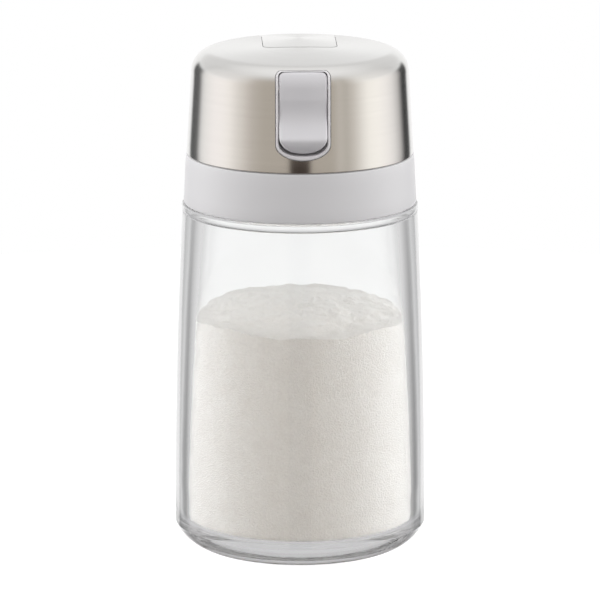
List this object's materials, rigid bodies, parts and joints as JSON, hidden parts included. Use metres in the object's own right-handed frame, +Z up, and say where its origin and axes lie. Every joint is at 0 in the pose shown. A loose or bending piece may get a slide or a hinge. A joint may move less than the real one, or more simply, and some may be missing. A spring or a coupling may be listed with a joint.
{
  "type": "sugar dispenser with flap",
  "caption": "Glass sugar jar with a screw-on steel-capped lid; a thumb lever at the front lifts a pouring flap at the back.",
  "frame": {"origin": "middle of the jar's base, on the surface that it stands on", "axes": "+Z up along the jar's axis, -Y towards the thumb lever, +Y towards the pouring flap"},
  "size_m": [0.0756, 0.0756, 0.1528],
  "materials": {
    "glass": "clear pressed glass",
    "silicone": "translucent white silicone",
    "collar_plastic": "fine satin moulding",
    "inner_plastic": "plain white moulding",
    "lever_plastic": "satin light grey moulding",
    "brushed_steel": "brushed round the cap",
    "bright_steel": "bright wire and turned steel",
    "sugar": "fine white crystals, for the contents in the visual model"
  },
  "bodies": {
    "jar": {"jar": "glass"},
    "seal": {"jar_gasket": "silicone"},
    "lid": {"collar": "collar_plastic", "floor_plate": "inner_plastic", "inner_cap": "inner_plastic", "cap_shell": "brushed_steel", "lever_bezel": "lever_plastic", "lever_axle": "bright_steel", "lever_spring": "bright_steel", "spout": "inner_plastic", "flap_pin": "bright_steel", "flap_spring": "bright_steel", "lid_screws": "bright_steel", "spout_screws": "bright_steel"},
    "lever": {"lever": "lever_plastic"},
    "flap": {"flap_shell": "brushed_steel", "flap_carrier": "inner_plastic", "flap_seal": "silicone"}
  },
  "joints": [
    {"name": "lid_lift", "type": "slide", "parent": "jar", "child": "seal", "axis": [0, 0, 1], "range_m": [0, 0.045]},
    {"name": "lid_turn", "type": "hinge", "parent": "seal", "child": "lid", "pos_m": [0, 0, 0.113], "axis": [0, 0, 1], "range_deg": [0, 90]},
    {"name": "lever_press", "type": "hinge", "parent": "lid", "child": "lever", "pos_m": [0, -0.0295, 0.145], "axis": [1, 0, 0], "range_deg": [0, 8], "stiffness_Nm_per_rad": 0.15, "springref_deg": -5.73, "deforming": ["lever_spring"]},
    {"name": "flap_open", "type": "hinge", "parent": "lid", "child": "flap", "pos_m": [0, 0.006, 0.1502], "axis": [1, 0, 0], "range_deg": [0, 44], "stiffness_Nm_per_rad": 0.01, "springref_deg": -28.65, "deforming": ["flap_spring"]}
  ],
  "couplings": [
    {"joint": "flap_open", "follows": "lever_press", "ratio": 5.5}
  ]
}
